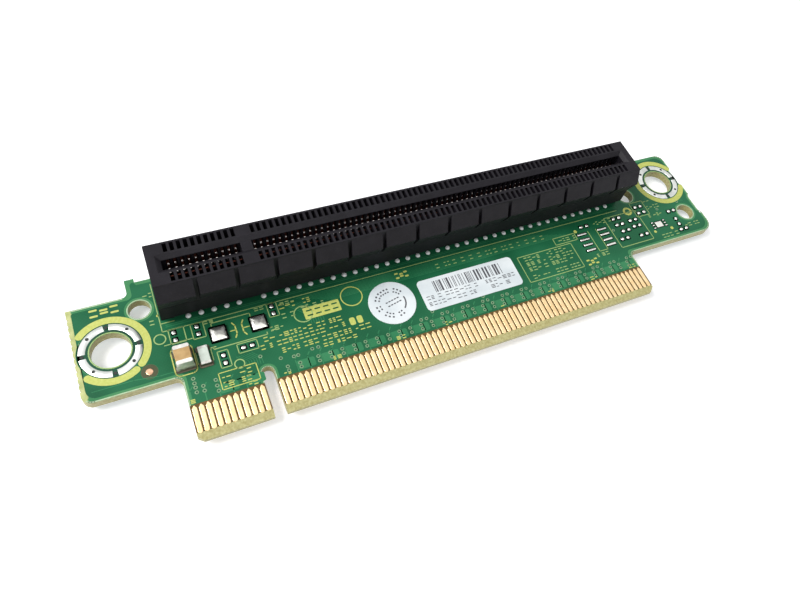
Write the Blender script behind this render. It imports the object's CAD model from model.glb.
import math
import random

import bmesh
import bpy
from mathutils import Matrix, Vector


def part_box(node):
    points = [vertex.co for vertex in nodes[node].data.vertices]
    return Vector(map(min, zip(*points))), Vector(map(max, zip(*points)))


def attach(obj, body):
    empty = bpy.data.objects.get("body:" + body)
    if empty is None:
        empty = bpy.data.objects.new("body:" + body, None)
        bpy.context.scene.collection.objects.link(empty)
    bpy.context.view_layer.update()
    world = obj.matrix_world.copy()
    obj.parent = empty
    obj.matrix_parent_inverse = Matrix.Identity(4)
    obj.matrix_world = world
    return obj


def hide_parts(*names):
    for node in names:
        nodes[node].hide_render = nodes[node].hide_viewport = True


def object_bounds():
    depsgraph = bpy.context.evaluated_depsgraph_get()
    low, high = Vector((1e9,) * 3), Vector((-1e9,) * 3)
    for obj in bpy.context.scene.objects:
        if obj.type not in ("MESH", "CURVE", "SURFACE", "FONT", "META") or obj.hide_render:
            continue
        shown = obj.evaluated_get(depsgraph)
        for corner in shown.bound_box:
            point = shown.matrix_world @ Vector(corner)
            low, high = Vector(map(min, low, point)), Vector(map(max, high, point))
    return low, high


# Riser card, dressed for rendering. Metres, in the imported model's frame: X along the contacts, Y from
# the mating edge to the back edge, Z out of the component face, origin at the key notch.

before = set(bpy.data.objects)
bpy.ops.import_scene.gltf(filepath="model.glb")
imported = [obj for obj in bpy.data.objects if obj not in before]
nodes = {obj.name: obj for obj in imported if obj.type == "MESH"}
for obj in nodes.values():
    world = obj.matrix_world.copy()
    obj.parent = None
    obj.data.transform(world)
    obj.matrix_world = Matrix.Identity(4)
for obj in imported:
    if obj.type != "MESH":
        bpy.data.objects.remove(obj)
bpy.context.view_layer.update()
MM = 0.001
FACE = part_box("pcb_board")[1].z / MM      # millimetres from the mid-plane to either face of the board
random.seed(7)


# ---------------------------------------------------------------- shader helpers

class Shader:
    """A node material built one node at a time."""

    def __init__(self, name):
        self.material = bpy.data.materials.new(name)
        self.material.use_nodes = True
        self.tree = self.material.node_tree
        self.surface = self.tree.nodes["Principled BSDF"]
        self.place = self.tree.nodes.new("ShaderNodeTexCoord").outputs["Object"]

    def set(self, **values):
        for name, value in values.items():
            self.surface.inputs[name.replace("_", " ")].default_value = value
        return self

    def node(self, kind, **values):
        made = self.tree.nodes.new("ShaderNode" + kind)
        for name, value in values.items():
            if name in made.inputs.keys():
                self.join(value, made.inputs[name])
            else:
                setattr(made, name, value)
        return made

    def join(self, value, socket):
        if isinstance(value, bpy.types.NodeSocket):
            self.tree.links.new(value, socket)
        else:
            socket.default_value = value

    def noise(self, scale, detail=3.0, roughness=0.5):
        """Noise with its scale per millimetre."""
        made = self.node("TexNoise", Scale=scale / MM, Detail=detail, Roughness=roughness)
        self.join(self.place, made.inputs["Vector"])
        return made.outputs["Fac"]

    def calc(self, kind, a, b=0.0, c=0.0):
        """Any one step of arithmetic or comparison."""
        made = self.node("Math", operation=kind)
        for index, value in enumerate((a, b, c)):
            self.join(value, made.inputs[index])
        return made.outputs[0]

    def spread(self, value, low, high, to_low=0.0, to_high=1.0):
        """A value carried from one range to another."""
        made = self.node("MapRange")
        for index, item in enumerate((value, low, high, to_low, to_high)):
            self.join(item, made.inputs[index])
        return made.outputs["Result"]

    def mix(self, share, first, second):
        made = self.node("Mix", data_type="RGBA")
        self.join(share, made.inputs[0])
        for value, socket in ((first, made.inputs[6]), (second, made.inputs[7])):
            self.join(value if isinstance(value, bpy.types.NodeSocket) else (*value, 1), socket)
        return made.outputs[2]

    def color(self, value):
        self.join(value, self.surface.inputs["Base Color"])

    def rough(self, value):
        self.join(value, self.surface.inputs["Roughness"])

    def bump(self, height, distance, strength=1.0):
        made = self.node("Bump", Strength=strength, Distance=distance * MM, Height=height)
        self.join(made.outputs["Normal"], self.surface.inputs["Normal"])


def axis(shader, socket, name):
    """One coordinate of a vector, in the vector's own unit."""
    split = shader.node("SeparateXYZ", Vector=socket)
    return split.outputs[name]


def dress(node, material):
    """A CAD node kept as it is, with its finish."""
    data = nodes[node].data
    data.materials.clear()
    data.materials.append(material)


# ---------------------------------------------------------------- shape helpers

class Piece:
    """Solids of one kind gathered into one mesh, drawn in millimetres."""

    def __init__(self):
        self.points = []
        self.faces = []

    def ring(self, loop):
        first = len(self.points)
        self.points += loop
        return list(range(first, len(self.points)))

    def bridge(self, lower, upper):
        for i, a in enumerate(lower):
            j = (i + 1) % len(lower)
            self.faces.append((a, lower[j], upper[j], upper[i]))

    def stack(self, outlines):
        """Loops joined one to the next and closed at both ends."""
        before = None
        for outline in outlines:
            loop = self.ring(outline)
            if before:
                self.bridge(before, loop)
            else:
                self.faces.append(loop[::-1])
            before = loop
        self.faces.append(before)

    def plate(self, outline, low, high):
        """A flat plate between two heights."""
        below = self.ring([(x, y, low) for x, y in outline])
        above = self.ring([(x, y, high) for x, y in outline])
        self.bridge(below, above)
        self.faces.append(above)
        self.faces.append(below[::-1])

    def pillow(self, x, y, width, depth, corner, low, height):
        """A pad of solder: full at the rim and nearly flat on top."""
        loops = []
        for share, level in ((0.0, 0.0), (0.0, 0.3), (0.04, 0.6), (0.12, 0.82), (0.24, 0.95), (0.4, 1.0)):
            inset = share * min(width, depth)
            outline = block(x, y, width - 2 * inset, depth - 2 * inset, max(corner - inset, 0.02), 5)
            loops.append([(px, py, low + height * level) for px, py in outline])
        self.stack(loops)

    def turned(self, x, y, profile, sides=16):
        """A turned form from a list of (radius, height)."""
        self.stack([[(px, py, height) for px, py in disc(x, y, radius, sides)]
                    for radius, height in profile])

    def washer(self, x, y, section, sides=64):
        """A ring turned round a hole from a closed section of (radius, height)."""
        loops = [self.ring([(px, py, height) for px, py in disc(x, y, radius, sides)])
                 for radius, height in section]
        for first, second in zip(loops, loops[1:] + loops[:1]):
            self.bridge(first, second)

    def strip(self, x, width, line, thick):
        """A sheet-metal strip that follows a line of (y, z) points."""
        loops = []
        for i, (y, z) in enumerate(line):
            ahead = Vector(line[min(i + 1, len(line) - 1)]) - Vector(line[max(i - 1, 0)])
            side = Vector((-ahead.y, ahead.x)).normalized() * thick / 2
            left, right = x - width / 2, x + width / 2
            near, far = (y - side.x, z - side.y), (y + side.x, z + side.y)
            loops.append(self.ring([(left, *near), (right, *near), (right, *far), (left, *far)]))
        for lower, upper in zip(loops, loops[1:]):
            self.bridge(lower, upper)
        self.faces.append(loops[0][::-1])
        self.faces.append(loops[-1])

    def line(self, points, width, low, high, closed=False):
        """A thin line of round-ended strokes."""
        points = points + points[:1] if closed else points
        for start, end in zip(points, points[1:]):
            self.plate(stroke(start, end, width), low, high)

    def make(self, name, material, slot=None, replaces=(), smooth=False):
        mesh = bpy.data.meshes.new(name)
        mesh.from_pydata([Vector(p) * MM for p in self.points], [], self.faces)
        return add_piece(mesh, name, material, replaces, smooth)


def add_piece(mesh, name, material, replaces=(), smooth=False):
    work = bmesh.new()
    work.from_mesh(mesh)
    bmesh.ops.recalc_face_normals(work, faces=work.faces)
    work.to_mesh(mesh)
    work.free()
    mesh.materials.append(material)
    if smooth:
        mesh.shade_smooth()
        mesh.set_sharp_from_angle(angle=math.radians(50))
    piece = bpy.data.objects.new(name, mesh)
    bpy.context.scene.collection.objects.link(piece)
    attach(piece, "root")
    if replaces:
        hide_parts(*replaces)
    return piece


def disc(x, y, radius, sides=20):
    turns = [2 * math.pi * i / sides for i in range(sides)]
    return [(x + radius * math.cos(a), y + radius * math.sin(a)) for a in turns]


def block(x, y, width, height, corner=0.0, steps=3):
    """A rectangle about its middle, with rounded corners if asked."""
    outline = []
    corner = min(corner, 0.49 * width, 0.49 * height)
    for i, j, start in ((1, 1, 0), (-1, 1, 90), (-1, -1, 180), (1, -1, 270)):
        cx, cy = x + i * (width / 2 - corner), y + j * (height / 2 - corner)
        for step in range(steps + 1 if corner else 1):
            a = math.radians(start + 90 * step / steps)
            outline.append((cx + corner * math.cos(a), cy + corner * math.sin(a)))
    return outline


def stroke(start, end, width, steps=3):
    """The outline of a short line with round ends."""
    (x0, y0), (x1, y1) = start, end
    aim = math.atan2(y1 - y0, x1 - x0)
    outline = []
    for cx, cy, turn in ((x1, y1, aim - math.pi / 2), (x0, y0, aim + math.pi / 2)):
        for step in range(steps + 1):
            a = turn + math.pi * step / steps
            outline.append((cx + width / 2 * math.cos(a), cy + width / 2 * math.sin(a)))
    return outline


def arc(x, y, radius, start, end, step=6):
    """Points along an arc, in degrees."""
    count = max(2, round(abs(end - start) / step))
    angles = [math.radians(start + (end - start) * i / count) for i in range(count + 1)]
    return [(x + radius * math.cos(a), y + radius * math.sin(a)) for a in angles]


def curved_bar(x, y, radius, width, start, end, round_ends=True):
    """Part of a flat ring, with rounded ends if asked."""
    outer = arc(x, y, radius + width / 2, start, end)
    inner = arc(x, y, radius - width / 2, end, start)
    if not round_ends:
        return outer + inner
    last = arc(x, y, radius, end, end + 1)[0]
    first = arc(x, y, radius, start, start + 1)[0]
    return (outer + arc(*last, width / 2, end, end + 180, 30)[1:-1]
            + inner + arc(*first, width / 2, start + 180, start + 360, 30)[1:-1])


def flat_sheet(edge, holes, low, high):
    """A mesh plate with holes in it."""
    curve = bpy.data.curves.new("outline", "CURVE")
    curve.dimensions = "2D"
    curve.fill_mode = "BOTH"
    curve.extrude = (high - low) / 2 * MM
    for outline in [edge, *holes]:
        spline = curve.splines.new("POLY")
        spline.points.add(len(outline) - 1)
        for point, (x, y) in zip(spline.points, outline):
            point.co = (x * MM, y * MM, 0, 1)
        spline.use_cyclic_u = True
    holder = bpy.data.objects.new("outline", curve)
    mesh = bpy.data.meshes.new_from_object(holder)
    bpy.data.objects.remove(holder)
    mesh.transform(Matrix.Translation((0, 0, (low + high) / 2 * MM)))
    return mesh


def spot(node):
    """The middle of a CAD node, in millimetres."""
    low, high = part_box(node)
    middle = (low + high) / 2 / MM
    return middle.x, middle.y


# ---------------------------------------------------------------- materials

def mask_material(name, low, high, edge_of_card=False):
    """Green solder mask: a clear lacquer over copper or laminate, with a fine weave showing."""
    s = Shader(name)
    x, y = (s.calc("MULTIPLY", axis(s, s.place, n), 1 / MM) for n in "XY")
    tone = s.spread(s.noise(0.10, 2), 0.38, 0.62)
    green = s.mix(tone, low, high)
    weave = s.calc("MULTIPLY", s.calc("SINE", s.calc("MULTIPLY", x, 11.0)),
                  s.calc("SINE", s.calc("MULTIPLY", y, 11.0)))
    green = s.mix(s.spread(weave, 0.2, 1.0, 0.0, 0.10), green, tuple(v * 1.7 for v in high))
    if edge_of_card:
        normal = s.node("NewGeometry").outputs["Normal"]
        flat = s.calc("GREATER_THAN", s.calc("ABSOLUTE", axis(s, normal, "Z")), 0.99)
        tongue = s.calc("MULTIPLY", s.calc("GREATER_THAN", x, TONGUE[0] - 0.05),
                       s.calc("LESS_THAN", x, TONGUE[1] + 0.05))
        bare = s.calc("MULTIPLY", s.calc("LESS_THAN", y, BARE_TOP), tongue)
        olive = s.calc("MULTIPLY", s.calc("LESS_THAN", y, FINGER_START), bare)
        grain = s.spread(s.noise(0.9, 4), 0.3, 0.7)
        brown = s.mix(grain, (0.085, 0.048, 0.012), (0.15, 0.090, 0.028))
        strip = s.mix(grain, (0.46, 0.37, 0.12), (0.58, 0.49, 0.20))
        face = s.mix(bare, green, s.mix(olive, brown, strip))
        ragged = s.calc("ADD", x, s.spread(s.noise(0.9, 3), 0.3, 0.7, -0.3, 0.3))
        snapped = s.mix(grain, (0.36, 0.40, 0.15), (0.56, 0.57, 0.27))
        face = s.mix(s.spread(ragged, SNAP_EDGE - 0.12, SNAP_EDGE + 0.12, 1.0, 0.0), face, snapped)
        fibre = s.spread(s.noise(2.6, 4), 0.3, 0.7)
        side = s.mix(fibre, (0.34, 0.30, 0.12), (0.50, 0.47, 0.23))
        green = s.mix(flat, side, face)
    s.color(green)
    s.rough(s.spread(s.noise(0.8, 4), 0.3, 0.7, 0.30, 0.42))
    s.set(Specular_IOR_Level=0.22)
    s.bump(s.noise(1.6, 3), 0.006)
    return s.material


def metal_material(name, low, high, rough, scale=1.2, dent=0.01, streak=False):
    """A plated metal whose tone wanders a little."""
    s = Shader(name)
    s.color(s.mix(s.spread(s.noise(scale), 0.35, 0.65), low, high))
    s.rough(s.spread(s.noise(scale * 2.3), 0.3, 0.7, rough - 0.06, rough + 0.1))
    s.set(Metallic=1.0)
    height = s.noise(scale * 1.7)
    if streak:
        x = s.calc("MULTIPLY", axis(s, s.place, "X"), 60 / MM)
        height = s.calc("ADD", height, s.calc("MULTIPLY", s.calc("SINE", x), 0.05))
    s.bump(height, dent)
    return s.material


def plain_material(name, low, high, rough, scale=1.0, dent=0.01, coat=0.0, shine=0.5):
    """A non-metal with a fine mottled tone."""
    s = Shader(name)
    s.color(s.mix(s.spread(s.noise(scale, 4), 0.3, 0.7), low, high))
    s.rough(s.spread(s.noise(scale * 1.9, 4), 0.3, 0.7, rough - 0.05, rough + 0.05))
    s.set(Coat_Weight=coat, Coat_Roughness=0.2, Specular_IOR_Level=shine)
    s.bump(s.noise(scale * 2.5, 4), dent)
    return s.material


def moulded_material():
    """Black moulded plastic with softened, paler rubbed edges."""
    s = Shader("slot_plastic")
    tone = s.spread(s.noise(0.35, 4), 0.35, 0.65)
    body = s.mix(tone, (0.0070, 0.0060, 0.0085), (0.0105, 0.0092, 0.0125))
    flow = s.spread(s.noise(4.0, 5), 0.55, 0.75)
    s.color(s.mix(s.calc("MULTIPLY", flow, 0.35), body, (0.026, 0.025, 0.030)))
    s.rough(s.spread(s.noise(0.8, 4), 0.3, 0.7, 0.40, 0.54))
    s.set(Specular_IOR_Level=0.18)
    soft = s.node("Bevel", Radius=0.07 * MM, samples=4)
    bump = s.node("Bump", Strength=0.6, Distance=0.012 * MM, Height=s.noise(5.0, 3))
    s.join(soft.outputs["Normal"], bump.inputs["Normal"])
    s.join(bump.outputs["Normal"], s.surface.inputs["Normal"])
    return s.material


def dipped_material():
    """The tinned ends of a chip part: bright on top, browned by flux towards the board."""
    s = Shader("dipped_end")
    level = s.calc("MULTIPLY", axis(s, s.place, "Z"), 1 / MM)
    height = s.calc("ADD", level, s.spread(s.noise(1.5, 3), 0.3, 0.7, -0.12, 0.12))
    bright = s.mix(s.spread(s.noise(1.0), 0.35, 0.65), (0.66, 0.64, 0.60), (0.84, 0.83, 0.79))
    s.color(s.mix(s.spread(height, FACE + 0.40, FACE + 0.95), (0.10, 0.085, 0.060), bright))
    s.rough(s.spread(s.noise(2.3), 0.3, 0.7, 0.36, 0.52))
    s.set(Metallic=0.85)
    s.bump(s.noise(1.7), 0.005)
    return s.material


def paper_material():
    """Glossy printed label paper, a little uneven."""
    s = Shader("label_paper")
    tone = s.spread(s.noise(0.25, 3), 0.35, 0.65)
    s.color(s.mix(tone, (0.60, 0.65, 0.67), (0.72, 0.76, 0.77)))
    s.rough(s.spread(s.noise(1.5, 4), 0.3, 0.7, 0.50, 0.62))
    s.set(Specular_IOR_Level=0.30)
    s.bump(s.noise(0.5, 4), 0.02)
    return s.material


# ---------------------------------------------------------------- places taken from the frame

board_low, board_high = (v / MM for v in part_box("pcb_board"))
fingers_low, fingers_high = (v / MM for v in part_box("edge_fingers_top"))
slot_low, slot_high = (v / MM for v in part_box("slot_housing"))
TONGUE = (fingers_low.x - 0.27, fingers_high.x + 0.27)
PITCH = 1.0
TONGUE_MARGIN = 0.6                       # from the tongue's end to the middle of its first finger
LEFT_COUNT = 11
RIGHT_COUNT = 71
FINGER_START = 1.1
FINGER_END = fingers_high.y - 0.1
BARE_TOP = FINGER_END + 0.3
SNAP_EDGE = board_low.x + 0.8
SLOT_MID = (slot_low.y + slot_high.y) / 2
LEFT_FINGERS = [TONGUE[0] + TONGUE_MARGIN + n * PITCH for n in range(LEFT_COUNT)]
RIGHT_FINGERS = [TONGUE[1] - TONGUE_MARGIN - n * PITCH for n in range(RIGHT_COUNT - 1, -1, -1)]
FINGERS = LEFT_FINGERS + RIGHT_FINGERS
SLOT_SHIFT = 1.66                         # the slot's contacts stand this far right of the fingers
CONTACTS = [x + SLOT_SHIFT for x in FINGERS]
LEFT_HOLE = spot("left_screw_ring")
RIGHT_HOLE = spot("right_screw_ring")
POUR_TOP = FACE + 0.010
SILK_LOW = FACE + 0.004
SILK_TOP = FACE + 0.028
MASK_FOOT = FACE - 0.01                   # thin finishes start a little below the face
RUB_TOP = FACE + 0.006
LEFT_SHOULDER = 10.55                     # the card's front edge left of the tongue
RIGHT_SHOULDER = 9.0
LOBE_TOP = 26.65
TAB_LEFT = -16.7
KEY_CENTRE = 7.15                         # the middle of the key notch's round end
KEY_HALF = 0.95
RING_MIDDLE = 3.97
SIGHT_DOT = (-16.16, 12.86)
SMALL_HOLES = [(-15.54, 23.85, 1.65), (79.1, 21.7, 1.65), (90.15, 14.35, 1.75)]

MASK = mask_material("mask_over_laminate", (0.034, 0.175, 0.068), (0.060, 0.225, 0.090), True)
POUR = mask_material("mask_over_copper", (0.006, 0.086, 0.034), (0.014, 0.128, 0.054))
TRACE = mask_material("mask_over_traces", (0.022, 0.160, 0.066), (0.038, 0.200, 0.085))
DARK = mask_material("mask_in_gaps", (0.006, 0.050, 0.026), (0.010, 0.070, 0.036))
GOLD = metal_material("finger_gold", (0.93, 0.68, 0.36), (1.0, 0.78, 0.46), 0.36, 0.8, 0.008, True)
TIN = metal_material("solder_tin", (0.80, 0.80, 0.74), (0.93, 0.93, 0.87), 0.32, 0.9, 0.004)
RING = metal_material("ring_tin", (0.60, 0.63, 0.60), (0.84, 0.86, 0.83), 0.38, 0.5, 0.02)
SPRING = metal_material("spring_alloy", (0.075, 0.024, 0.018), (0.13, 0.044, 0.032), 0.40)
SPRING_TIP = metal_material("spring_tip", (0.86, 0.80, 0.76), (0.97, 0.93, 0.90), 0.32, 1.0, 0.002)
BEAD = plain_material("wet_solder", (0.84, 0.86, 0.85), (0.95, 0.96, 0.95), 0.22, 1.2, 0.003, 1.0)
CAP_END = dipped_material()
PLASTIC = moulded_material()
CAP_TAN = plain_material("capacitor_ceramic", (0.40, 0.245, 0.095), (0.52, 0.345, 0.15), 0.34, 1.0, 0.008)
FUSE_GREY = plain_material("fuse_ceramic", (0.46, 0.52, 0.45), (0.58, 0.64, 0.57), 0.42)
PAPER = paper_material()
INK = plain_material("label_ink", (0.050, 0.050, 0.060), (0.10, 0.10, 0.11), 0.5, 2.0, 0.002)
SILK = plain_material("silk_ink", (0.42, 0.455, 0.085), (0.52, 0.55, 0.15), 0.55, 2.5, 0.01)
SILK_FAINT = plain_material("silk_ink_thin", (0.24, 0.37, 0.11), (0.33, 0.45, 0.17), 0.55, 2.5, 0.01)
COPPER = metal_material("bare_copper", (0.62, 0.36, 0.22), (0.75, 0.48, 0.32), 0.35, 2.0)
HALO = mask_material("mask_clearance", (0.055, 0.060, 0.030), (0.080, 0.085, 0.045))
VIA_PALE = plain_material("mask_on_via_ring", (0.13, 0.24, 0.12), (0.22, 0.34, 0.19), 0.4, 2.5, 0.006)
EDGE_PALE = plain_material("routed_rim", (0.30, 0.42, 0.24), (0.44, 0.55, 0.36), 0.6, 2.0, 0.01)
VIA_DARK = plain_material("via_hole", (0.004, 0.008, 0.006), (0.010, 0.016, 0.012), 0.6, 3.0)


# ---------------------------------------------------------------- board finish

def card_edge(inset):
    """The card's upper outline above the fingers, moved inwards."""
    d = inset
    low, high = board_low, board_high
    corner = 0.9
    points = [(TONGUE[0] + d, BARE_TOP), (TONGUE[1] - d, BARE_TOP)]
    points += arc(TONGUE[1] - d + corner, RIGHT_SHOULDER + d - corner, corner, 180, 90, 20)
    points += arc(high.x - d - 2.3, RIGHT_SHOULDER + d + 2.3, 2.3, -90, 0, 15)
    points += [(high.x - d, 13.4), (high.x - 0.5 - d, 14.0), (high.x - 0.5 - d, 17.6), (high.x - d, 18.4)]
    points += [(high.x - d, 20.8), (high.x - 0.5 - d, 21.4), (high.x - 0.5 - d, 25.2), (high.x - d, 26.0)]
    points += arc(high.x - d - 1.8, high.y - d - 1.8, 1.8, 0, 90, 15)
    points += [(-9.4, high.y - d), (-9.7, high.y - 0.7 - d), (-15.1, high.y - 0.7 - d)]
    points += arc(TAB_LEFT + d + 0.6, high.y - 0.05 - d - 0.6, 0.6, 90, 180, 20)
    points += arc(TAB_LEFT + d - 0.9, LOBE_TOP - d + 0.9, 0.9, 0, -90, 20)
    points += arc(low.x + 0.1 + d + 0.4, LOBE_TOP - d - 0.4, 0.4, 90, 180, 20)
    points += arc(low.x + 0.1 + d + 1.4, LEFT_SHOULDER + d + 1.4, 1.4, 180, 270, 15)
    points += arc(TONGUE[0] + d - 0.9, LEFT_SHOULDER + d - 0.9, 0.9, 90, 0, 20)
    return points


def notch(grow):
    """The key notch's round top, as a bay cut from the copper."""
    half = KEY_HALF + grow
    return [(-half, BARE_TOP), *arc(0, KEY_CENTRE, half, 180, 0, 15), (half, BARE_TOP)]


def make_copper():
    """Copper under the mask shows darker and bluer than bare laminate."""
    d = 0.62
    edge = card_edge(d)
    edge = edge[:1] + notch(0.5) + edge[1:]
    holes = [disc(*LEFT_HOLE, 4.75, 48)[::-1], disc(*RIGHT_HOLE, 4.75, 48)[::-1]]
    holes += [disc(x, y, r + 0.55, 32)[::-1] for x, y, r in SMALL_HOLES]
    holes.append(disc(*SIGHT_DOT, 1.25, 28)[::-1])
    mesh = flat_sheet(edge, holes, FACE - 0.02, POUR_TOP)
    add_piece(mesh, "copper_pour_top", POUR)
    back = flat_sheet(edge, holes[:-1], -POUR_TOP, -FACE + 0.02)
    add_piece(back, "copper_pour_bottom", POUR)


def make_rim():
    """The pale line where the routed edge of the card has rubbed the mask away."""
    rim = Piece()
    points = card_edge(0.12)
    last = [i for i, (x, y) in enumerate(points) if x < 0 and y > BARE_TOP][0]
    rim.line(points[1:last], 0.20, MASK_FOOT, RUB_TOP)
    rim.line([(-17.6, 26.5), (SNAP_EDGE, 26.5)], 0.20, MASK_FOOT, RUB_TOP)
    first = [i for i, (x, y) in enumerate(points) if y < 11.2 and x < TONGUE[0]][0]
    rim.line(points[first:] + points[:1], 0.20, MASK_FOOT, RUB_TOP)
    for sign in (-1, 1):
        rim.line([(sign * 1.04, BARE_TOP), *arc(0, KEY_CENTRE, 1.04, 90 - sign * 90, 90, 15)], 0.14,
                 MASK_FOOT, RUB_TOP)
    for x, y, radius in SMALL_HOLES:
        inner, outer = radius + 0.02, radius + 0.2
        rim.washer(x, y, [(inner, FACE), (inner, RUB_TOP), (outer, RUB_TOP), (outer, FACE)], 36)
    rim.make("routed_rim", EDGE_PALE, "laminate")


def make_traces():
    """Thin tracks and the pale pads of the ground fill above the fingers."""
    tracks = Piece()
    low, high = POUR_TOP - 0.01, POUR_TOP + 0.006
    for n in range(20):
        x = -7.5 + 4 * n
        if abs(x) < 3.2 or x > TONGUE[1] - 3:
            continue
        tracks.plate(block(x + 1.5, 6.75, 2.9, 1.55, 0.3), low, high)
    for x in FINGERS[::2]:
        if abs(x) < 2.6:
            continue
        tracks.line([(x, BARE_TOP), (x, 7.9), (x + 0.5, 8.5)], 0.16, low, high)
    for n in range(10):
        y = 18.45 - 0.22 * n
        tracks.line([(8 + n * 0.6, y), (54 + n * 0.9, y)], 0.09, low, high)
    for n in range(7):
        x = 6.2 + n * 0.42
        tracks.line([(x, 17.6), (x + 2.4, 15.2), (x + 2.4, 13.2)], 0.11, low, high)
        tracks.line([(-3.8 + n * 0.4, 11.2), (-2.6 + n * 0.4, 10.0), (-2.6 + n * 0.4, 8.9)], 0.1, low, high)
        tracks.line([(52 + n * 0.6, 9.0), (54 + n * 0.6, 7.9)], 0.12, low, high)
        tracks.line([(84 + n * 0.35, 19.2 - n * 0.2), (91.5, 19.2 - n * 0.35)], 0.09, low, high)
    for y in (19.55, 19.85):
        tracks.line([(-12.4, y), (75.4, y)], 0.14, low, high)
    tracks.line([(-24.2, 12.2), (-18.5, 12.2), (-15, 11.7), (-13, 11.7)], 0.12, low, high)
    tracks.make("mask_tracks", TRACE, "laminate")


def make_vias():
    """Plated holes closed by the mask: a pale ring with a dark middle."""
    places = [(8.1 + 2 * n, y) for n in range(32) for y in (7.27, 6.45)]
    places += [(26.5 + 4 * n + d, 8.1) for n in range(12) for d in (0, 1)]
    places += [(-10.6, y) for y in (9.7, 8.9, 8.2, 7.4)]
    places += [(-9.5, 8.1), (-9.5, 7.3), (-7.6, 8.45), (-7.6, 7.5), (-7.6, 6.6)]
    places += [(-0.36, 10.1), (2.5, 8.8), (4.5, 8.45), (5.2, 8.45), (7.6, 8.8), (8.6, 8.8)]
    places += [(x, y) for x in (3.1, 5.1) for y in (7.1, 6.4)]
    places += [(29.0, 9.0), (39.0, 9.0), (71.6, 14.7), (84.2, 16.7), (89.9, 17.2)]
    rings = Piece()
    middles = Piece()
    for x, y in places:
        rings.turned(x, y, [(0.31, SILK_LOW), (0.31, POUR_TOP + 0.014), (0.24, POUR_TOP + 0.02)], 12)
        middles.turned(x, y, [(0.16, SILK_LOW), (0.16, POUR_TOP + 0.024)], 10)
    rings.make("via_rings", VIA_PALE, "laminate")
    middles.make("via_middles", DARK, "laminate")


def make_screw_ring(side, hole, silk_spans):
    """A tinned ring in four lobes with eight small plated holes, a bare rim and a silk arc round it."""
    x, y = hole
    gap = 5.5                             # degrees left bare at each end of a lobe
    steps = 16
    lobe_section = ((3.45, 0.0), (3.5, 0.05), (RING_MIDDLE, 0.075), (4.45, 0.05), (4.5, 0.0))
    rim = Piece()
    rim.washer(x, y, [(2.92, FACE - 0.05), (2.92, FACE + 0.02), (3.02, FACE + 0.03), (3.1, FACE)])
    rim.make(side + "_hole_rim", SILK_FAINT, "laminate")
    channel = Piece()
    channel.washer(x, y, [(3.1, MASK_FOOT), (3.1, POUR_TOP), (4.62, POUR_TOP), (4.62, MASK_FOOT)])
    channel.make(side + "_ring_channel", DARK, "laminate")
    for face, sign in (("", 1), ("_underside", -1)):
        ring = Piece()
        holes = Piece()
        for quarter in range(4):
            start, end = 90 * quarter + gap, 90 * quarter + 90 - gap
            sections = []
            for step in range(steps + 1):
                a = math.radians(start + (end - start) * (step / steps))
                sections.append([(x + radius * math.cos(a), y + radius * math.sin(a), sign * (FACE + height))
                                 for radius, height in lobe_section])
            ring.stack(sections)
        for eighth in range(8):
            a = math.radians(45 * eighth)
            px, py = x + RING_MIDDLE * math.cos(a), y + RING_MIDDLE * math.sin(a)
            top = sign * (FACE + 0.085)
            holes.turned(px, py, [(0.27, sign * FACE), (0.27, top), (0.12, top)], 12)
        node = side + "_screw_ring"
        ring.make(side + "_ring_lobes" + face, RING, "solder_tin", [node] if sign > 0 else (), True)
        holes.make(side + "_ring_holes" + face, VIA_DARK)
    band = Piece()
    for start, end in silk_spans:
        band.plate(curved_bar(x, y, 5.2, 1.1, start, end), SILK_LOW, SILK_TOP)
    band.make(side + "_silk_arc", SILK, "laminate")


def make_fingers():
    """Gold fingers with a pointed end at the mask and a round end at the mating edge."""
    for face, sign in (("top", 1), ("bottom", -1)):
        gold = Piece()
        for x in FINGERS:
            half = 0.35
            outline = arc(x, FINGER_START + half, half, 180, 360, 30)
            outline += [(x + half, FINGER_END - 0.30), (x + 0.08, FINGER_END + 0.1)]
            outline += [(x - 0.08, FINGER_END + 0.1), (x - half, FINGER_END - 0.30)]
            inner = [(x + (px - x) * 0.86, py) for px, py in outline]
            low = gold.ring([(px, py, sign * (FACE - 0.02)) for px, py in outline])
            side = gold.ring([(px, py, sign * (FACE + 0.025)) for px, py in outline])
            top = gold.ring([(px, py, sign * (FACE + 0.045)) for px, py in inner])
            gold.bridge(low, side)
            gold.bridge(side, top)
            gold.faces.append(top)
            gold.faces.append(low[::-1])
        gold.make("gold_fingers_" + face, GOLD, "gold_plating", ["edge_fingers_" + face])


# ---------------------------------------------------------------- slot contacts and solder

def spring_offset(share):
    """How far a contact lies from the slot's mid-plane at a share of its height."""
    bow = math.exp(-((share - 0.60) / 0.27) ** 2)
    return 2.25 - 1.45 * bow - 0.35 * max(0.0, share - 0.85)


def make_contacts():
    """Springs: up from the tail, bowed in to the card, turned away at the tip, with bright ledges."""
    for side, sign in (("front", -1), ("back", 1)):
        low, high = (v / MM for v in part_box("slot_contacts_" + side))
        springs = Piece()
        crowns = Piece()
        shares = [step / 14 for step in range(15)]
        for x in CONTACTS:
            line = [(SLOT_MID + sign * spring_offset(t), low.z + (high.z - low.z) * t) for t in shares]
            springs.strip(x, 0.40, line, 0.16)
            for share in (0.56, 0.67, 0.78):
                z = low.z + (high.z - low.z) * share
                inner = spring_offset(share) - 0.22
                ledge = [(inner, z), (inner + 0.16, z + 0.04), (inner + 0.30, z + 0.12)]
                crowns.strip(x, 0.26, [(SLOT_MID + sign * away, level) for away, level in ledge], 0.06)
        springs.make("contact_springs_" + side, SPRING, "contact_metal", ["slot_contacts_" + side], True)
        crowns.make("contact_crowns_" + side, SPRING_TIP, "contact_metal")


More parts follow.
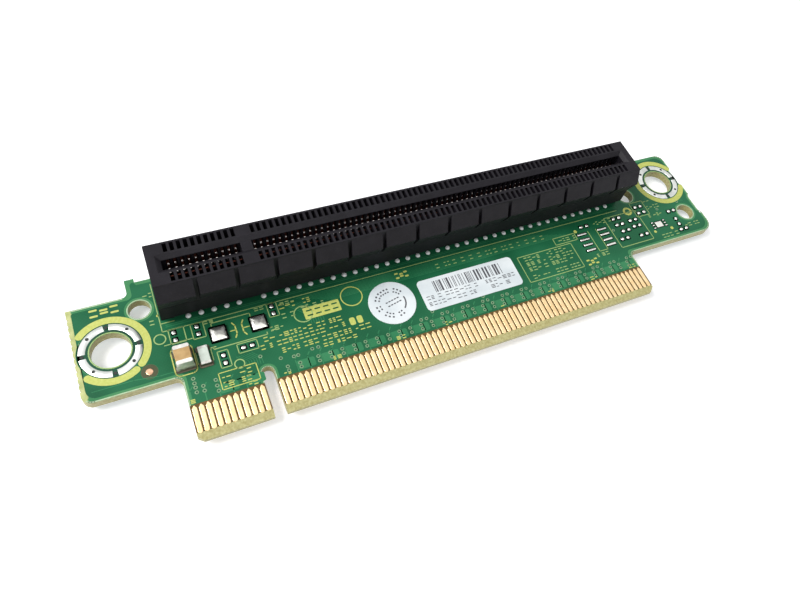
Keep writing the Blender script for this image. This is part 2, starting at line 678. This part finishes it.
def make_joints():
    """Solder cones round the tails on the lower face and the wet tops seen in front of the slot."""
    low, high = (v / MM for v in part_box("tail_solder_joints"))
    cones = Piece()
    beads = Piece()
    for index, x in enumerate(CONTACTS):
        away = 3.25 if index % 2 else 1.3
        for sign in (-1, 1):
            y = SLOT_MID + sign * away
            profile = [(0.45, high.z), (0.40, -FACE - 0.12), (0.27, -FACE - 0.42), (0.19, -FACE - 0.85)]
            profile += [(0.17, low.z + 0.1), (0.08, low.z)]
            cones.turned(x, y, profile, 14)
            if index % 2:
                beads.turned(x, y, [(0.45, FACE), (0.42, FACE + 0.10), (0.31, FACE + 0.20),
                                    (0.12, FACE + 0.26)], 16)
    cones.make("tail_joints", TIN, "solder_tin", ["tail_solder_joints"], True)
    beads.make("tail_beads_top", BEAD, "solder_tin", (), True)


# ---------------------------------------------------------------- components

def make_chip(name, body_material, cap_share, bulge):
    """A chip part: ceramic body, dipped metal ends with soft edges, and solder drawn up at each end."""
    low, high = (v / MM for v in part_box(name + "_end_caps"))
    body_low, body_high = (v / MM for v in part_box(name + "_body"))
    x, y = (low.x + high.x) / 2, (low.y + high.y) / 2
    width, length = high.x - low.x, high.y - low.y
    cap = length * cap_share
    corner = min(width, length) * 0.10
    body = Piece()
    middle = length - 2 * cap + 0.2
    for share, level in ((1.0, body_low.z), (1.0, body_high.z - corner), (0.97, body_high.z - corner * 0.3),
                         (0.92, body_high.z)):
        body.ring([(px, py, level) for px, py in block(x, y, (width - 0.1) * share, middle)])
    loops = [list(range(i, i + 4)) for i in range(0, 16, 4)]
    for lower, upper in zip(loops, loops[1:]):
        body.bridge(lower, upper)
    body.faces += [loops[0][::-1], loops[-1]]
    body.make(name + "_ceramic", body_material, name + "_ceramic", [name + "_body"], True)
    ends = Piece()
    solder = Piece()
    for sign in (-1, 1):
        cy = y + sign * (length - cap) / 2
        loops = []
        for share, level in ((0.97, low.z), (1.0, low.z + corner), (1.0, high.z - corner),
                             (0.985, high.z - corner * 0.4), (0.93, high.z)):
            outline = block(x, cy, width * share, cap * (0.6 + 0.4 * share), corner, 3)
            loops.append([(px, py, level) for px, py in outline])
        ends.stack(loops)
        edge = y + sign * length / 2
        reach, rise = 0.25 + bulge * 0.5, (high.z - low.z) * (0.35 + bulge)
        line = []
        for step in range(7):
            t = step / 6
            line.append((edge + sign * reach * (1 - t) ** 1.8, low.z + rise * t ** 1.7))
        left, right = x - width / 2, x + width / 2
        rows = []
        for py, pz in line:
            back = edge - sign * 0.1
            rows.append(solder.ring([(left, back, FACE), (left - 0.1, py, pz), (right + 0.1, py, pz),
                                     (right, back, FACE)]))
        for lower, upper in zip(rows, rows[1:]):
            solder.bridge(lower, upper)
        solder.faces += [rows[0][::-1], rows[-1]]
        solder.plate(block(x, cy, width + 0.5, cap + 0.5, 0.2), FACE - 0.01, FACE + 0.1)
    ends.make(name + "_ends", CAP_END, "solder_tin", [name + "_end_caps"], True)
    solder.make(name + "_solder", CAP_END, "solder_tin", [name + "_solder_pads"], True)


def solid_boxes(node):
    """The box of each separate solid in a CAD node, in millimetres."""
    work = bmesh.new()
    work.from_mesh(nodes[node].data)
    left = set(work.verts)
    boxes = []
    while left:
        stack = [left.pop()]
        group = []
        while stack:
            vert = stack.pop()
            group.append(vert.co / MM)
            for edge in vert.link_edges:
                other = edge.other_vert(vert)
                if other in left:
                    left.remove(other)
                    stack.append(other)
        xs, ys = [p.x for p in group], [p.y for p in group]
        boxes.append((min(xs), max(xs), min(ys), max(ys)))
    work.free()
    return sorted(boxes)


def make_pads(node, name, height, corner):
    """Each bare pad carries its own swelling of solder inside a dark gap in the mask."""
    pads = Piece()
    gaps = Piece()
    for left, right, front, back in solid_boxes(node):
        x, y, width, depth = (left + right) / 2, (front + back) / 2, right - left, back - front
        pads.pillow(x, y, width, depth, corner, MASK_FOOT, height * random.uniform(0.85, 1.1))
        gaps.plate(block(x, y, width + 0.22, depth + 0.22, corner + 0.1, 4), MASK_FOOT, POUR_TOP + 0.01)
    pads.make(name, TIN, "solder_tin", [node], True)
    gaps.make(name + "_gaps", DARK, "laminate")


# ---------------------------------------------------------------- print and labels

def dashes(piece, left, right, y, height, levels=None, weight=0.17, low=SILK_LOW, high=SILK_TOP):
    """A row of plain dashes where small print would stand: it says nothing."""
    x = left
    while x < right - 0.25:
        wide = random.choice((0.32, 0.45, 0.55, 0.55, 0.7))
        stop = min(x + wide, right)
        pick = levels or random.choice(((0.4, -0.4), (0.4, -0.4), (0.4, 0.0, -0.4), (0.0,)))
        for level in pick:
            at = y + level * height
            piece.plate(stroke((x, at), (stop, at), weight, 2), low, high)
        x = stop + weight + random.choice((0.16, 0.2, 0.24, 0.7))


def make_silk():
    """The printed frames, arcs and bars, with plain dashes wherever the card has lettering."""
    bright = Piece()
    faint = Piece()
    covered = Piece()
    line = 0.14

    def frame_line(left, right, front, back, piece=faint, width=line):
        piece.line(block((left + right) / 2, (front + back) / 2, right - left, back - front), width,
                   SILK_LOW, SILK_TOP, True)

    slot_front = slot_low.y + 0.08
    slot_end = slot_low.x - 0.26
    faint.line([(75.0, slot_front), (slot_end, slot_front), (slot_end, slot_high.y - 0.8)],
               line, SILK_LOW, SILK_TOP)
    faint.line([(slot_low.x - 0.2, 20.3), (slot_low.x + 1.8, 20.3)], line, SILK_LOW, SILK_TOP)
    for x in (-2.6, -1.55):
        bend = -0.35 if x < -2 else 0.35
        bright.line([(x + bend, 17.2), (x, 16.6), (x, 15.1), (x + bend, 14.5)], 0.2, SILK_LOW, SILK_TOP)
    bright.line([(-3.5, 15.8), (-2.6, 15.8)], 0.16, SILK_LOW, SILK_TOP)
    bright.line([(-1.55, 15.8), (-0.5, 15.8)], 0.16, SILK_LOW, SILK_TOP)
    faint.line([(-6.0, 17.6), (-6.0, 18.1), (0.1, 18.1), (0.1, 17.5)], 0.16, SILK_LOW, SILK_TOP)
    faint.line([(-6.6, 13.9), (-6.6, 13.5), (1.8, 13.5), (1.8, 13.9)], 0.16, SILK_LOW, SILK_TOP)
    faint.line([(-7.0, 13.9), (-6.2, 13.9)], 0.16, SILK_LOW, SILK_TOP)
    faint.line([(-13.3, 16.4), (-9.2, 16.4)], line, SILK_LOW, SILK_TOP)
    frame_line(-7.0, -1.3, 6.5, 9.3, bright)
    frame_line(-12.3, -10.0, 16.3, 18.9)
    frame_line(-9.0, -7.1, 16.1, 18.8)
    frame_line(3.0, 4.6, 16.3, 18.8)
    frame_line(-6.3, -4.7, 10.0, 12.9)
    frame_line(-3.2, -0.1, 11.6, 13.2)
    cap_x, cap_y = spot("capacitor_body")
    bright.line(block(cap_x, cap_y, 3.2, 4.9, 0.75, 4), 0.16, SILK_LOW, SILK_TOP, True)
    fuse_x, fuse_y = spot("fuse_body")
    for sign in (-1, 1):
        faint.line([(fuse_x + sign * 1.15, fuse_y - 1.0), (fuse_x + sign * 1.15, fuse_y + 1.0)], line,
                   SILK_LOW, SILK_TOP)
    for x, y, radius in ((16.85, 16.1, 1.85), (-13.7, 17.7, 0.85), (-3.6, 9.9, 0.75), (8.2, 15.3, 1.5)):
        piece = bright if radius > 1.6 else faint
        piece.washer(x, y, [(radius - 0.1, SILK_LOW), (radius - 0.1, SILK_TOP), (radius + 0.08, SILK_TOP),
                            (radius + 0.08, SILK_LOW)], 36)
    bright.plate(block(11.4, 15.2, 6.2, 2.2, 0.15), SILK_LOW, SILK_TOP - 0.008)
    for n in range(4):
        for y in (14.75, 15.65):
            covered.plate(block(9.25 + 1.45 * n, y, 1.0, 0.26, 0.12), SILK_LOW, SILK_TOP)
    for y, left, right, height in ((12.7, 1.0, 14.2, 0.8), (11.45, 0.2, 14.0, 0.8), (10.0, 3.2, 18.0, 0.9),
                                   (8.8, 9.6, 15.2, 0.55), (17.7, 4.9, 7.4, 0.9), (17.7, 8.9, 10.5, 0.9)):
        dashes(bright, left, right, y, height)
    for y, left, right, height in ((16.55, 8.2, 12.4, 0.5), (18.2, 5.2, 8.0, 0.5), (15.9, 4.9, 7.2, 0.9),
                                   (14.2, 2.5, 4.6, 0.8), (7.5, -6.4, -1.9, 0.0)):
        dashes(faint, left, right, y, height)
    for x, y, height in ((-4.6, 8.45, 0.85), (-4.6, 7.25, 0.85)):
        dashes(bright, x - 2.0, x - 0.3, y, height)
        dashes(bright, x + 0.7, x + 2.9, y, height)
    for x in (15.4, 16.7):
        bright.plate(block(x, 11.5, 0.95, 1.4, 0.3), SILK_LOW, SILK_TOP)
    for left, right, front, back in ((-22.7, -18.2, 24.15, 26.05), (25.4, 28.0, 16.75, 18.35),
                                     (62.0, 64.6, 8.55, 10.25)):
        span = (right - left) / 3
        for n in range(3):
            x = left + span * (n + 0.5)
            tall = 0.5 if n % 2 else 1.0
            for level in (-0.28, 0.28):
                y = (front + back) / 2 + level * (back - front) * tall
                bright.plate(block(x, y, span * 0.8, 0.34, 0.15), SILK_LOW, SILK_TOP)
    for n in range(14):
        x = 33.4 + n * 1.72
        dashes(faint, x, x + 1.1, 17.35, 0.8, (0.45, -0.45), 0.16)
    frame_line(49.0, 61.1, 8.9, 14.5)
    for y in (13.75, 12.6, 11.45, 9.75):
        dashes(faint, 50.2, 54.2, y, 0.75)
        dashes(faint, 55.2, 60.4, y, 0.75)
    frame_line(58.0, 63.0, 14.9, 16.4)
    dashes(faint, 59.0, 62.7, 15.65, 0.6)
    for x in (66.07, 68.0):
        faint.line([(x, 11.07), (x, 16.0)], line, SILK_LOW, SILK_TOP)
    faint.line([(66.07, 11.07), (68.0, 11.07)], line, SILK_LOW, SILK_TOP)
    frame_line(71.1, 79.1, 10.45, 17.8)
    frame_line(78.7, 81.9, 16.1, 19.6)
    for left, right, y, height in ((65.0, 67.8, 10.3, 0.7), (68.2, 72.6, 17.25, 0.75),
                                   (81.3, 84.8, 15.6, 0.7), (81.4, 85.8, 10.3, 0.8),
                                   (88.0, 91.6, 11.3, 0.7), (82.2, 85.2, 17.6, 0.8),
                                   (82.0, 84.0, 19.2, 0.7)):
        dashes(faint, left, right, y, height)
    for left, right, y, height in ((-14.6, -13.3, 26.0, 0.8), (-14.5, -13.3, 20.9, 0.8),
                                   (-7.0, -5.6, 18.5, 0.5), (1.0, 2.4, 18.4, 0.5), (2.6, 3.9, 14.0, 0.8)):
        dashes(faint, left, right, y, height)
    for x in (-11.0, -2.4, 3.0, 11.0, 22.0, 31.0, 42.0, 52.0, 61.5, 70.5):
        dashes(bright, x - 0.7, x + 0.8, 6.15, 0.6)
    bright.washer(77.3, 18.0, [(0.55, SILK_LOW), (0.55, SILK_TOP), (1.0, SILK_TOP), (1.0, SILK_LOW)], 24)
    for x, y, radius in ((63.5, 16.65, 0.35), (84.6, 11.6, 0.35), (80.4, 11.8, 0.3), (-13.2, 21.9, 0.2)):
        bright.plate(disc(x, y, radius), SILK_LOW, SILK_TOP)
    bright.make("silk_print", SILK, "laminate")
    faint.make("silk_lines", SILK_FAINT, "laminate")
    covered.make("silk_gaps", POUR, "laminate")
    back = Piece()
    for n in range(8):
        dashes(back, 6 + 8 * n, 11 + 8 * n, 12.0, 0.8, None, 0.17, -SILK_TOP, -SILK_LOW)
    back.line([(slot_low.x, 18.85), (75.0, 18.85), (75.0, 28.8), (slot_low.x, 28.8)], line,
              -SILK_TOP, -SILK_LOW, True)
    back.make("silk_print_bottom", SILK_FAINT, "laminate")


def make_sight_dot():
    """A bare copper dot in its ring of clear laminate."""
    x, y = SIGHT_DOT
    ring = Piece()
    ring.plate(disc(x, y, 1.22, 32), MASK_FOOT, RUB_TOP)
    ring.make("sight_dot_ring", HALO, "laminate")
    dot = Piece()
    dot.turned(x, y, [(0.52, FACE), (0.52, FACE + 0.03), (0.46, FACE + 0.045)], 24)
    dot.make("sight_dot", COPPER, "gold_plating")


def make_labels():
    """Paper labels with soft corners and plain printed bars."""
    low, high = (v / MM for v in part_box("round_label"))
    x, y = (low.x + high.x) / 2, (low.y + high.y) / 2
    radius = (high.x - low.x) / 2
    top = high.z
    sheet = Piece()
    sheet.turned(x, y, [(radius, FACE + 0.005), (radius, top - 0.02), (radius - 0.05, top)], 64)
    sheet.make("round_label_paper", PAPER, "label_paper", ["round_label"])
    ink = Piece()
    for start, step, count, reach in ((38, 13, 7, 2.75), (128, 14, 6, 2.9), (225, 14, 6, 2.8)):
        for n in range(count):
            if n % 4 == 3:
                continue
            middle = start + step * n
            ink.plate(curved_bar(x, y, reach, 0.30, middle - 3.4, middle + 3.4, False), top, top + 0.006)
            ink.plate(curved_bar(x, y, reach - 0.62, 0.26, middle - 4, middle + 4, False), top, top + 0.006)
    for n in range(5):
        for height in (0.36, -0.36):
            at = (x - 1.0 + n * 0.55 - height * 0.3, y - 0.2 + height + n * 0.12)
            ink.plate(stroke(at, (at[0] + 0.28, at[1] + 0.05), 0.22, 2), top, top + 0.006)
    ink.plate(curved_bar(x, y, 2.35, 0.26, -42, 12), top, top + 0.006)
    low, high = (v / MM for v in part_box("long_label"))
    x, y = (low.x + high.x) / 2, (low.y + high.y) / 2
    width, depth = high.x - low.x, high.y - low.y
    sheet = Piece()
    sheet.plate(block(x, y, width, depth, 0.8, 6), FACE + 0.005, high.z)
    sheet.make("long_label_paper", PAPER, "label_paper", ["long_label"])
    at = low.x + 2.8
    while at < high.x - 2.9:
        wide = random.choice((0.12, 0.12, 0.24, 0.36))
        ink.plate(block(at + wide / 2, y + 1.25, wide, 2.3), high.z, high.z + 0.006)
        at += wide + random.choice((0.14, 0.14, 0.26, 0.4))
    for level, spans in ((-0.62, ((0.7, 10.6), (12.4, 18.4))), (-1.85, ((0.7, 9.8), (13.0, 16.8)))):
        for start, end in spans:
            dashes(ink, low.x + start, low.x + end, y + level, 0.72, None, 0.15, high.z, high.z + 0.006)
    ink.make("label_ink_marks", INK, "label_paper")


dress("pcb_board", MASK)
dress("slot_housing", PLASTIC)
make_copper()
make_rim()
make_traces()
make_vias()
make_screw_ring("left", LEFT_HOLE, [(-43.5, 137), (224.3, 303.3)])
make_screw_ring("right", RIGHT_HOLE, [(31, 332)])
make_fingers()
make_contacts()
make_joints()
make_chip("capacitor", CAP_TAN, 0.20, 0.25)
make_chip("fuse", FUSE_GREY, 0.13, 0.10)
make_pads("large_solder_pads", "large_solder_domes", 0.6, 0.3)
make_pads("driver_pads", "driver_solder", 0.20, 0.15)
make_pads("small_pads_left", "left_footprint_solder", 0.18, 0.5)
make_pads("small_pads_right", "right_footprint_solder", 0.26, 0.5)
make_pads("power_chip_pads", "power_footprint_solder", 0.14, 0.08)
make_silk()
make_sight_dot()
make_labels()


# ---------------------------------------------------------------- camera, light and floor

def set_camera():
    """The photograph's viewpoint, rolled and shifted as the picture is framed."""
    data = bpy.data.cameras.new("camera")
    data.sensor_width = 36
    data.lens = 31.41
    data.shift_x = -0.0646
    data.shift_y = -0.0628
    data.clip_start = 0.005
    right = Vector((0.8904, -0.4086, 0.2006))
    up = Vector((0.2355, 0.7907, 0.5650))
    back = right.cross(up)
    camera = bpy.data.objects.new("camera", data)
    turn = Matrix((right, up, back)).transposed()
    camera.matrix_world = Matrix.Translation(Vector((-12.3, -38.7, 103.6)) * MM) @ turn.to_4x4()
    bpy.context.scene.collection.objects.link(camera)
    bpy.context.scene.camera = camera


def add_light(name, place, aim, size, power):
    """A soft square lamp."""
    data = bpy.data.lights.new(name, "AREA")
    data.size = size
    data.energy = power
    light = bpy.data.objects.new(name, data)
    light.location = place
    light.rotation_mode = "QUATERNION"
    light.rotation_quaternion = (Vector(aim) - Vector(place)).to_track_quat("-Z", "Y")
    bpy.context.scene.collection.objects.link(light)


def seen_rays(nodes_of):
    """A share that is 1 for rays from the camera, a mirror or glass, and 0 for light on the object."""
    rays = nodes_of.new("ShaderNodeLightPath")
    total = None
    for name in ("Is Camera Ray", "Is Glossy Ray", "Is Transmission Ray"):
        add = nodes_of.new("ShaderNodeMath")
        add.use_clamp = True
        links = nodes_of.id_data.links
        links.new(rays.outputs[name], add.inputs[0])
        if total:
            links.new(total, add.inputs[1])
        else:
            add.inputs[1].default_value = 0.0
        total = add.outputs[0]
    return total


def set_world():
    """Dim sky light on the object, and plain white wherever the sky itself is seen."""
    world = bpy.data.worlds.new("studio")
    world.use_nodes = True
    tree = world.node_tree
    dim = tree.nodes["Background"]
    dim.inputs["Color"].default_value = (0.95, 0.97, 1.0, 1)
    dim.inputs["Strength"].default_value = 0.45
    white = tree.nodes.new("ShaderNodeBackground")
    white.inputs["Color"].default_value = (1, 1, 1, 1)
    mix = tree.nodes.new("ShaderNodeMixShader")
    tree.links.new(seen_rays(tree.nodes), mix.inputs[0])
    tree.links.new(dim.outputs[0], mix.inputs[1])
    tree.links.new(white.outputs[0], mix.inputs[2])
    tree.links.new(mix.outputs[0], tree.nodes["World Output"].inputs["Surface"])
    bpy.context.scene.world = world


def floor_material():
    """Pale and matt, with a glow of its own for camera and mirror rays that leaves only the shadow."""
    s = Shader("pale_floor")
    s.color((0.80, 0.80, 0.80, 1))
    s.set(Roughness=0.95, Specular_IOR_Level=0.0, Emission_Color=(1, 1, 1, 1))
    s.join(s.calc("MULTIPLY", seen_rays(s.tree.nodes), 0.42), s.surface.inputs["Emission Strength"])
    return s.material


def add_floor():
    """A wide pale floor just under the card."""
    low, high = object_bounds()
    centre = (low + high) / 2
    mesh = bpy.data.meshes.new("floor")
    reach = 2.0
    corners = [(-reach, -reach, 0), (reach, -reach, 0), (reach, reach, 0), (-reach, reach, 0)]
    mesh.from_pydata(corners, [], [(0, 1, 2, 3)])
    floor = bpy.data.objects.new("floor", mesh)
    floor.location = (centre.x, centre.y, low.z - 0.02 * MM)
    bpy.context.scene.collection.objects.link(floor)
    mesh.materials.append(floor_material())


bpy.context.scene.view_settings.view_transform = "Standard"
set_camera()
set_world()
add_light("key", (-0.34, 0.10, 0.48), (0.03, 0.015, 0), 0.30, 4.2)
add_light("fill", (0.10, -0.40, 0.45), (0.03, 0.015, 0), 0.30, 0.5)
add_floor()
